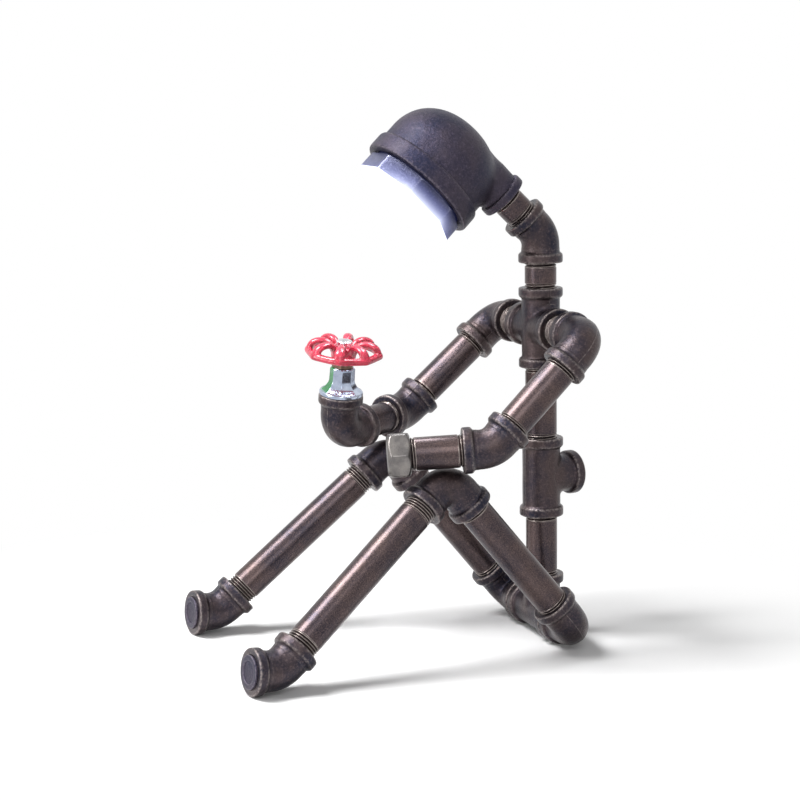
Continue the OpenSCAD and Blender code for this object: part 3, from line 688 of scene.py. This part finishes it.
def bushing_painted_glow_graph(tree):
    """Sockets of the bushing: a casting with a painted glow of the lamp's blue-white light, most at front and sides."""
    sockets = cast_graph((0.035, 0.038, 0.075), (0.075, 0.078, 0.13), (0.3, 0.3, 0.4), 0.8)(tree)
    # Painted light: the iron glows as if lit by the lamp, at its front and two sides, and fully at its very front.
    front = along_axis(tree, face_at, 2, 39.5, 52.0)
    left, right = (along_axis(tree, face_at, 0, *ends) for ends in ((8, 33), (-8, -33)))
    side = maths(tree, "MAXIMUM", maths(tree, "MAXIMUM", left, right), 0.22)
    lit = maths(tree, "MULTIPLY", maths(tree, "POWER", front, 1.6), side)
    lit = maths(tree, "MAXIMUM", lit, along_axis(tree, face_at, 2, 50.2, 50.4))
    sockets["Emission Color"] = ramp(tree, lit, (0.10, 0.13, 0.55), (0.80, 0.84, 1.0), 0.0, 0.9)
    sockets["Emission Strength"] = span(tree, lit, 0.05, 1.5, 0.0, 1.0)
    return sockets


bushing_cast = finish("bushing_painted_glow", bushing_painted_glow_graph, Metallic=0.6, Coat_Weight=0.1, Coat_Roughness=0.25)


def lens_graph(tree):
    """Sockets of the lit lens: white, with a faint cloud in it."""
    cloud = noise(tree, 120, 3)
    return {"Base Color": ramp(tree, cloud, (0.90, 0.93, 1.0), (0.97, 0.98, 1.0)),
            "Emission Color": ramp(tree, cloud, (0.93, 0.95, 1.0), (1.0, 1.0, 1.0)),
            "Emission Strength": span(tree, cloud, 20, 24), "Roughness": span(tree, cloud, 0.3, 0.4)}


lens = finish("lit_lens", lens_graph)
print("finishes:", len(bpy.data.materials))

# %% [markdown]
# ## The castings in their places
#
# Every fitting is now one call: the name of the solid that it replaces, its shape and its chain of
# turns.
# %% Elbows, tees and the cross on the figure


def fitting(solid, shells, place):
    """One casting in its seat."""
    piece(solid, "cast", shells, place, cast)


fitting("hip_tee", tee([0], 11), hip_tee_at)
fitting("back_tee", tee([0], 21), back_tee_at)
fitting("chest_cross", tee([90, -90], 31), spine(CHEST_Z) @ turned("Z", CHEST_TURN))
fitting("neck_elbow", [elbow(*eighth, 41)], neck_at)
for word, side in SIDES.items():
    seed = 55 - 5 * side
    fitting(word + "_hip_elbow", [elbow(*quarter, seed)],
            seat @ moved(side * HIP_X) @ turned("Y", side * 90) @ turned("Z", -side * THIGH_SLOPE))
    fitting(word + "_knee_elbow", [elbow(*quarter, seed + 1)], knee(side))
    fitting(word + "_ankle_elbow", [elbow(*eighth, seed + 2)], ankle(side))
    fitting(word + "_shoulder_elbow", [elbow(*quarter, seed + 3)], shoulder(side))
    fitting(word + "_arm_elbow", [elbow(*eighth, seed + 4)], arm_elbow(side))
fitting("right_hand_elbow", [elbow(*quarter, 71)], hand_at)

# %% [markdown]
# ## Pipes with cut threads
#
# A pipe's thread is a groove that climbs by one pitch per turn. As a surface it is a radius that
# depends on the height in pitches less the angle in turns, which says how far a point is between
# one crest and the next. The groove fades over its last turn, and inside the fitting it draws in
# under the bevelled rim.
# %% Pipes
PIPE_R, BORE_R, TENON_R, PITCH, MOUTH_GAP = 10.65, 8.05, 9.49, 1.814, 0.4


def pipe(gap, rows=1):
    """A pipe from one mouth at height 0 to the next at height gap, with some rows of thread at both ends.

    The radius is the pipe's less the groove's depth, times how near the place is to the middle between two crests.
    """
    rows = min(rows, int((gap - 2 * MOUTH_GAP) / 2 / PITCH))
    zone = MOUTH_GAP + rows * PITCH + 0.9
    near = np.arange(-2.0, min(zone + 0.4, gap / 2 - 0.05), 0.16)
    middle = np.linspace(near[-1], gap - near[-1], 2 + int((gap - 2 * near[-1]) / 3))[1:-1]
    z = np.concatenate([[-10], near, middle, gap - near[::-1], [gap + 10]])[:, None]
    angle = circle(72)[None]
    depth_in = np.minimum(z, gap - z)
    between = 1 - np.abs(2 * ((z / PITCH - angle / (2 * np.pi)) % 1) - 1)
    cut = np.clip(1.35 * between - 0.2, 0, 1)
    fade = np.clip((zone - depth_in) / 1.3, 0, 1) * (rows > 0)
    rim = np.interp(depth_in, [-1.7, -0.1], [TENON_R, PIPE_R])
    radius = np.minimum(PIPE_R - (PIPE_R - TENON_R) * cut * fade, rim)
    radius = np.vstack([radius, np.full((2, 72), BORE_R)])
    z = np.vstack([z, [[gap + 10]], [[-10]]]) + 0 * angle
    return skin(np.stack([radius * np.cos(angle), radius * np.sin(angle), z], -1))


def screwed(solid, gap, place, rows=1):
    """One pipe in its seat."""
    piece(solid, "drawn", [pipe(gap, rows)], place, drawn, crease=55)


screwed("lower_spine_pipe", BACK_TEE_Z - 2 * REACH_90, spine(REACH_90))
screwed("upper_spine_pipe", CHEST_Z - BACK_TEE_Z - 2 * REACH_90, spine(BACK_TEE_Z + REACH_90))
screwed("neck_pipe", NECK_Z - CHEST_Z - REACH_90 - REACH_45, spine(CHEST_Z + REACH_90))
screwed("head_nipple", HEAD_REACH - REACH_45 - 49.5, nape_at @ moved(z=REACH_45))
for word, side in SIDES.items():
    shin_at, upper_arm_at = (place(side) @ turned("X", 90) @ moved(z=REACH_90) for place in (knee, shoulder))
    screwed(word + "_hip_nipple", HIP_GAP, seat @ turned("Y", side * 90) @ moved(z=REACH_90))
    screwed(word + "_thigh_pipe", THIGH_LEN - 2 * REACH_90, hip(side) @ moved(z=REACH_90))
    screwed(word + "_shin_pipe", shin_length(side) - REACH_90 - REACH_45, shin_at, 3)
    screwed(word + "_shoulder_nipple", SHOULDER_GAP, chest(side) @ moved(z=REACH_90), 3)
    screwed(word + "_upper_arm_pipe", UPPER_ARM_LEN - REACH_90 - REACH_45, upper_arm_at)
screwed("left_forearm_pipe", FOREARM_LEN[LEFT] - REACH_45 - HAND_CAP_LEN, forearm(LEFT) @ moved(z=REACH_45))
screwed("right_forearm_nipple", FOREARM_LEN[RIGHT] - REACH_45 - REACH_90, forearm(RIGHT) @ moved(z=REACH_45))

# %% [markdown]
# ## Pieces with flats
#
# A flat-sided piece's radius is its half width over the cosine of the angle to the nearest flat,
# and high powers of all the cosines together round its corners a little. Its ends are turned down:
# a point lies on the flats or on the turned cone, whichever is nearer to the axis, and the two meet
# in the arcs that every nut shows.
# %% Hand cap, plugs and bush


def corner_radius(flats, sides=6):
    """Distance from the axis to a corner: half the width over the cosine of half the angle between corners."""
    return flats / 2 / math.cos(math.pi / sides)


def flatted(flats, corners, flats_from=-1e9, loop=True, turn=0.0, sides=6, power=60, soft=0.05, flare=0.0):
    """A lathed profile cut to flats above a height, corners at the turn: radius is the smaller of the two radii.

    With a flare the flats lean outwards: they keep a share of the profile's own radius where that is more.
    """
    z, r = dense(smooth_corners(corners), 0.7).T[..., None]
    even = circle(28 * sides)
    angle = even + 0.75 * np.sin(sides * even) / sides
    towards = np.cos(angle[:, None] - np.arange(sides) * 2 * np.pi / sides)
    flat = flats / 2 * (np.maximum(towards, 0) ** power).sum(-1) ** (-1 / power)
    limit = np.where(z > flats_from, np.maximum(flat, r * flat / corner_radius(flats, sides) if flare else 0), 1e3)
    radius = np.minimum(r, limit) - soft * np.log1p(np.exp(-np.abs(r - limit) / soft)) * (r > 1)
    angle = angle + math.radians(turn + 180 / sides)
    return skin(np.stack([radius * np.cos(angle), radius * np.sin(angle), z + 0 * radius], -1), loop)


CAP_FLATS = 27.2
cap_r = corner_radius(CAP_FLATS)
piece("left_hand_cap", "cast", [flatted(CAP_FLATS, [
    (11, 0, 0), (11, 9.5, 0.5), (1.2, 9.55, 0.3), (0.05, 10.9, 0.2), (0.05, cap_r - 3.4, 0.9), (2.6, cap_r, 1.5),
    (12.2, cap_r, 1.5), (14.85, cap_r - 3.5, 1.1), (14.95, 10, 3), (14.7, 0, 0)],
    loop=False, turn=47, power=40, soft=0.16)], forearm(LEFT) @ moved(z=FOREARM_LEN[LEFT] - HAND_CAP_LEN),
    plain["satin_cap"], crease=50)
for word, side in SIDES.items():
    piece(word + "_foot_plug", "turned", [lathed([
        (-11, 0, 0), (-11, 9.3, 0.5), (0, 9.45, 0.1), (0, 10.72, 0.1), (1.58, 10.72, 0.8), (1.5, 7.4, 0.5),
        (0.9, 6.9, 0.5), (0.7, 0, 0)], loop=False)], ankle(side) @ turned("X", 45) @ moved(z=REACH_45), head_cast)
piece("cord_bush", "moulded", [lathed([
    (-11, 3.2, 0.2), (-11, 9.3, 0.5), (0, 9.45, 0.1), (0, 11.45, 0.2), (1.95, 11.45, 0.8), (1.95, 8.6, 0.3),
    (1.5, 8.3, 0.3), (1.5, 6.4, 0.3), (1.95, 6.1, 0.3), (1.95, 3.2, 0.6)])],
    branch_at @ moved(z=REACH_90), plain["black_rubber"])

# %% [markdown]
# ## The head
#
# The head is a reducing elbow: a round-backed cup with a wide band, and a small outlet towards the
# neck. Each form has a formula for how far a point is from its surface, and a smooth minimum of the
# two has a rounded valley where they meet. Remeshing joins the two skins, and every point near them
# then walks down that distance to the surface.
# %% Melting skins together


def melted(shells, voxel):
    """Skins joined by Blender's voxel remesh, as points and quads."""
    verts, quads = joined(shells)
    mesh = bpy.data.meshes.new("melting")
    mesh.from_pydata(verts.tolist(), [], quads.tolist())
    weld(mesh)
    work = put_in_scene("melting", mesh)
    remesh = work.modifiers.new("voxels", "REMESH")
    remesh.mode, remesh.voxel_size = "VOXEL", voxel
    done = work.evaluated_get(bpy.context.evaluated_depsgraph_get()).to_mesh()
    verts, quads = np.empty(3 * len(done.vertices)), np.empty(len(done.loops), np.int32)
    done.vertices.foreach_get("co", verts)
    done.loops.foreach_get("vertex_index", quads)
    bpy.data.objects.remove(work)
    bpy.data.meshes.remove(mesh)
    return verts.reshape(-1, 3), quads.reshape(-1, 4)


def relaxed(verts, quads, rounds):
    """Each point moves half of the way to the mean of its neighbours, some rounds over."""
    a, b = quads.ravel(), np.roll(quads, -1, 1).ravel()
    count = np.bincount(a, minlength=len(verts)) + np.bincount(b, minlength=len(verts))
    for _ in range(rounds):
        mean = np.stack([np.bincount(a, verts[b, k], len(verts)) + np.bincount(b, verts[a, k], len(verts))
                         for k in range(3)], -1) / np.maximum(count, 1)[:, None]
        verts = verts + 0.5 * (mean - verts)
    return verts, quads


# %% Head casting
HEAD_R, HEAD_BACK, HEAD_ROUND, HEAD_BAND_R, HEAD_FRONT = 39.0, 15.0, 31.0, 41.25, 38.0
HEAD_MELT, OUTLET = 9, 49.5
OUTLET_END = OUTLET - 0.02
head_back = [(16 + HEAD_ROUND * math.cos(a), 8 + HEAD_ROUND * math.sin(a), 0)
             for a in np.linspace(math.pi / 2, math.pi, 24)[1:]]
head_cup = lathed([
    (-HEAD_BACK + 5, 0, 0), (-HEAD_BACK + 5, 24, 18), (20, 34, 2), (HEAD_FRONT - 1.4, 34, 0.3), (HEAD_FRONT, 35, 0.3),
    (HEAD_FRONT, HEAD_BAND_R - 0.1, 1.5), (26.5, HEAD_BAND_R - 0.1, 1.8), (24.6, HEAD_R, 1.6), (16, HEAD_R, 2),
    *head_back, (-HEAD_BACK, 0, 0)], 160, loop=False)
head_outlet = lathed([
    (4, 8, 0), (4, 11, 1), (18, 13.6, 4), (30, 15.0, 4), (OUTLET - 7.2, 14.5, 1.5), (OUTLET - 5.9, 16.4, 1.1),
    (OUTLET_END, 16.4, 1.2), (OUTLET_END, 11, 0.3), (OUTLET - 1.6, 9.55, 0.2), (OUTLET - 6, 9.5, 0.3),
    (OUTLET - 6, 8, 0.2)], 120)


def head_distance(at):
    """Smooth minimum of two distances: a round-backed cup's, and a cone's along the neck, which narrows inwards."""
    w, across = -at[:, 1], np.hypot(at[:, 0], at[:, 2])
    q = np.stack([across - (HEAD_R - HEAD_ROUND), 16 - w], -1)
    cup = np.hypot(*np.maximum(q, 0).T) + np.minimum(q.max(1), 0) - HEAD_ROUND
    cone = np.hypot(at[:, 0], at[:, 1]) - np.interp(-at[:, 2], [-12, 8, 20, 32, 43], [-10, 10.5, 13.8, 15.0, 14.5])
    mixed = np.maximum(HEAD_MELT - np.abs(cup - cone), 0) / HEAD_MELT
    return np.minimum(cup, cone) - mixed ** 3 * HEAD_MELT / 6


def settled(verts, quads):
    """Points near the melted surface walk down the distance along its slope, found from small steps along the axes."""
    for _ in range(4):
        here = head_distance(verts)
        slope = np.stack([head_distance(verts + step) - head_distance(verts - step)
                          for step in 0.02 * np.eye(3)], -1) / 0.04
        near = np.clip((1.3 - here) / 0.5, 0, 1) * np.clip((here + 3.2) / 0.5, 0, 1)
        verts = verts - (near * here / np.maximum((slope ** 2).sum(1), 0.3))[:, None] * slope
    wave = (np.sin(verts[:, 0] / 5.1 + 1) + np.sin(verts[:, 1] / 6.3 + verts[:, 2] / 9) + np.sin(verts[:, 2] / 4.3)) / 3
    seam = np.exp(-(verts[:, 0] / 0.6) ** 2)
    out = slope / np.maximum(np.linalg.norm(slope, axis=1), 0.1)[:, None]
    return verts + (near * (0.10 * wave - 0.06 + 0.13 * seam))[:, None] * out, quads


head_skin = melted([placed(head_cup, turned("X", 90)), placed(head_outlet, turned("X", 180))], 0.72)
piece("head_elbow", "cast", [settled(*relaxed(*head_skin, 2))], head_at, head_cast)

# %% [markdown]
# ### The eight-sided bushing and the lens
#
# A bushing with eight flats screws into the head and narrows its mouth. Its ledge holds the lens, a
# pressed disc with a low dome. Both are lathed, and the bushing is flat-sided only where it stands
# out of the head.
# %% Bushing and lens
BUSHING_FLATS = 69.4
bushing_r = corner_radius(BUSHING_FLATS, 8)
piece("head_bushing", "cast", [flatted(BUSHING_FLATS, [
    (28, 27, 0), (28, 33.8, 0.4), (38.95, 33.8, 0.3), (38.98, 33.2, 0.1), (39.1, bushing_r - 0.6, 0.5),
    (40, bushing_r, 0.5), (50.0, bushing_r, 0.8), (51.95, bushing_r - 3.2, 1.2), (51.95, 26.4, 0.8), (51.2, 25.1, 0.4),
    (50.5, 25.05, 0.1), (50.5, 27, 0.1)], flats_from=39.0, turn=15, sides=8, power=90, soft=0.1)],
    face_at, bushing_cast, crease=50)
piece("lamp_lens", "pressed", [lathed([
    (47.55, 0, 0), (47.55, 26.8, 0.3), (50.42, 26.8, 0.3), (50.45, 24.6, 0.2), (51.6, 23.9, 1.0), (52.3, 19, 3),
    (53.0, 12, 3), (53.4, 5, 2), (53.45, 0, 0)], 120, loop=False)], face_at, lens)

# %% [markdown]
# ## The right hand: a valve with a red wheel
#
# The right hand holds a little valve, whose wheel is the lamp's dimmer. A bonnet screws into the
# elbow, a packing nut closes on the stem, and a cast handwheel sits on top under a nut. The wheel
# is a low eight-sided ring, and from each corner a thick arm arches over to the hub. Remeshing
# melts ring, arms and hub into one casting with soft inner corners.
# %% Bonnet and nuts
piece("valve_bonnet", "turned", [flatted(15.4, [
    (21.2, 3.1, 0), (21.2, 9.2, 0.5), (27.0, 9.45, 0.1), (27.02, 12.6, 0.2), (27.3, 14.6, 0.4), (29.2, 14.6, 0.5),
    (30.2, 13.4, 0.8), (32.2, 10.9, 1.2), (35.5, 8.6, 2), (44.9, 8.4, 0.6), (45.95, 7.2, 0.5), (45.95, 3.1, 0)],
    flats_from=29.9, turn=39, sides=8, power=110, flare=1)], valve_at, plated, crease=32)
piece("packing_nut", "turned", [flatted(13.5, [
    (46.0, 3.1, 0), (46.0, 6.6, 0.3), (46.6, 7.75, 0.3), (49.9, 7.75, 0.5), (50.95, 6.2, 0.6), (50.95, 3.1, 0)])],
    valve_at, plain["aged_brass"], crease=32)
piece("wheel_nut", "turned", [flatted(10, [
    (60.32, 1.9, 0), (60.32, 4.9, 0.2), (60.8, 5.75, 0.2), (63.4, 5.75, 0.4), (64.27, 4.5, 0.4), (64.27, 1.9, 0)])],
    valve_at, plain["bright_nut"], crease=32)

# %% Handwheel
RING_FLATS, RING_INNER_R, RING_LOW, RING_H, ARMS, WHEEL_TURN = 49.4, 20.6, 53.5, 4.6, 8, 32.0
ARCH_R, ARCH_AT, ARCH_FOOT = 8.4, 14.6, 54.0


def wheel_ring():
    """An eight-sided ring with a soft square section: its radius grows with the eight-sided shape's outside."""
    angle = circle(384)[None]
    turn = circle(36)[:, None]
    towards = np.cos(angle[..., None] - (np.arange(ARMS) + 0.5) * 2 * np.pi / ARMS)
    outside = RING_FLATS / 2 * (np.maximum(towards, 0) ** 44).sum(-1) ** (-1 / 44) - 0.1
    c, s = np.cos(turn), np.sin(turn)
    square = (np.abs(c) ** 3.4 + np.abs(s) ** 3.4) ** (-1 / 3.4)
    middle, half = (outside + RING_INNER_R) / 2, (outside - RING_INNER_R) / 2
    radius = middle + half * c * square - 0.5 * np.maximum(s, 0)
    up = RING_LOW + RING_H / 2 + 0.05 + (RING_H / 2 - 0.1) * s * square + 0 * angle
    return skin(np.stack([radius * np.cos(angle), radius * np.sin(angle), up], -1))


def wheel_arm(turn):
    """An arch from the hub to the ring: an oval section, wider near the ring, runs round a squared half circle."""
    t = np.linspace(0, np.pi, 34)[:, None]
    a = circle(24)[None]
    power = 2.25 + 0.55 * np.cos(t)
    square = (np.abs(np.cos(t)) ** power + np.sin(t) ** power) ** (-1 / power)
    wide = 3.0 + 0.7 * np.cos(t)
    away = (ARCH_R + 0.1) * square + 2.3 * np.cos(a)
    tube = np.stack([ARCH_AT + away * np.cos(t), wide * np.sin(a), ARCH_FOOT - 0.1 + away * np.sin(t)], -1)
    ends = [np.repeat(tube[k].mean(0)[None, None], 24, 1) for k in (0, -1)]
    return placed(skin(np.concatenate([ends[0], tube, ends[1]]), loop=False), turned("Z", turn))


wheel_hub = lathed([
    (51.32, 3.1, 0.1), (51.32, 7.6, 0.6), (53, 8.35, 1.5), (59.0, 8.35, 1.5), (60.25, 6.8, 0.6), (60.25, 3.1, 0.1)])
wheel_arms = [wheel_arm(360 / ARMS * k) for k in range(ARMS)]
wheel_skin = relaxed(*melted([wheel_ring(), wheel_hub] + wheel_arms, 0.42), 6)
piece("handwheel", "cast", [wheel_skin], valve_at @ turned("Z", WHEEL_TURN), enamel)

# %% [markdown]
# ## Inner parts that keep their solids
#
# The wires, the board and sink, the stem and the dimmer are right as they are, so only their finish
# changes.
# %% Finishes on the carried-over solids
KEPT = {"wire_insulation": ["spine_wires", "head_wires", "lamp_wires", "right_arm_wires", "right_forearm_wires"],
        "lamp_board_white": ["lamp_board"], "cast_aluminium": ["heat_sink"], "switch_black": ["dimmer_switch"],
        "turned_steel": ["valve_stem"]}
for material, solids in KEPT.items():
    for solid in solids:
        for slot in frame["nodes"][solid].material_slots:
            slot.material = plain[material]
print("solids kept:", sum(not o.hide_render for o in frame["nodes"].values()))

# %% [markdown]
# ## Studio
#
# The photograph has a plain white ground. Here a pale floor fades into white, a white surround
# gives the metal something to mirror, and three soft lamps light it. The key lamp hangs high in
# front of the figure, where its mirror image runs along the arms and shins as the photograph's
# bright lines do. A tall lamp low in front lights what faces forward, and a weak one beside the
# camera fills the shade.
# %% Floor and surround
SHADOW_FROM, SHADOW_TO, SHADED_LEVEL = 0.16, 0.42, 0.28


def shows_background(tree):
    """1 for a ray from the camera, off a mirror or through glass, and 0 for one that only brings light."""
    rays = node(tree, "LightPath").outputs
    seen = maths(tree, "MAXIMUM", rays["Is Camera Ray"], rays["Is Glossy Ray"])
    return maths(tree, "MAXIMUM", seen, rays["Is Transmission Ray"])


def paper_graph(tree):
    """Sockets of a pale, dull paper."""
    return {"Base Color": ramp(tree, noise(tree, 3, 2), (0.90, 0.90, 0.90), (0.93, 0.93, 0.93))}


paper = finish("studio_paper", paper_graph, Roughness=0.9, Specular_IOR_Level=0.1)
tree = paper.node_tree
away = node(tree, "MapRange", {
    "Value": vector_maths(tree, "LENGTH", node(tree, "TexCoord").outputs["Object"]),
    "From Min": SHADOW_FROM, "From Max": SHADOW_TO}, interpolation_type="SMOOTHSTEP").outputs["Result"]
glow = node(tree, "Emission", {"Color": (1, 1, 1), "Strength": 1.0}).outputs["Emission"]
share = maths(tree, "MULTIPLY", away, shows_background(tree))
mixed = node(tree, "MixShader", {0: share, 1: tree.nodes["Principled BSDF"].outputs["BSDF"], 2: glow})
plug(tree, tree.nodes["Material Output"].inputs["Surface"], mixed.outputs["Shader"])

floor_mesh = bpy.data.meshes.new("floor")
floor_mesh.from_pydata([(-6, -6, 0), (6, -6, 0), (6, 6, 0), (-6, 6, 0)], [], [(0, 1, 2, 3)])
floor_mesh.materials.append(paper)
put_in_scene("floor", floor_mesh)

world = bpy.data.worlds.new("studio")
bpy.context.scene.world = world
world.use_nodes = True
tree = world.node_tree
background = tree.nodes["Background"].inputs
plug(tree, background["Color"], (1, 1, 1))
plug(tree, background["Strength"], span(tree, shows_background(tree), SHADED_LEVEL, 1.0, 0.0, 1.0))
print("the floor fades out from", SHADOW_FROM, "to", SHADOW_TO, "m; the surround lights at", SHADED_LEVEL)


# %% Lamps
def soft_lamp(name, place, size, watts, aim=(0, 0, 0.17)):
    """An area lamp at a place, turned so that its -Z looks at its aim, the figure's middle."""
    data = bpy.data.lights.new(name, "AREA")
    data.shape, data.size, data.size_y, data.energy = "RECTANGLE", *size, watts
    lamp = put_in_scene(name, data)
    towards = (Vector(aim) - Vector(place)).to_track_quat("-Z", "Y")
    lamp.matrix_world = Matrix.Translation(place) @ towards.to_matrix().to_4x4()
    return lamp


soft_lamp("key_lamp", (-0.15, -1.0, 1.7), (0.8, 0.8), 50)
soft_lamp("front_lamp", (0.2, -1.8, 0.5), (0.4, 1.0), 12)
soft_lamp("fill_lamp", (1.4, -0.4, 0.9), (0.5, 0.9), 5)
bpy.context.scene.view_settings.view_transform = "Standard"
print("lamps:", len(bpy.data.lights))
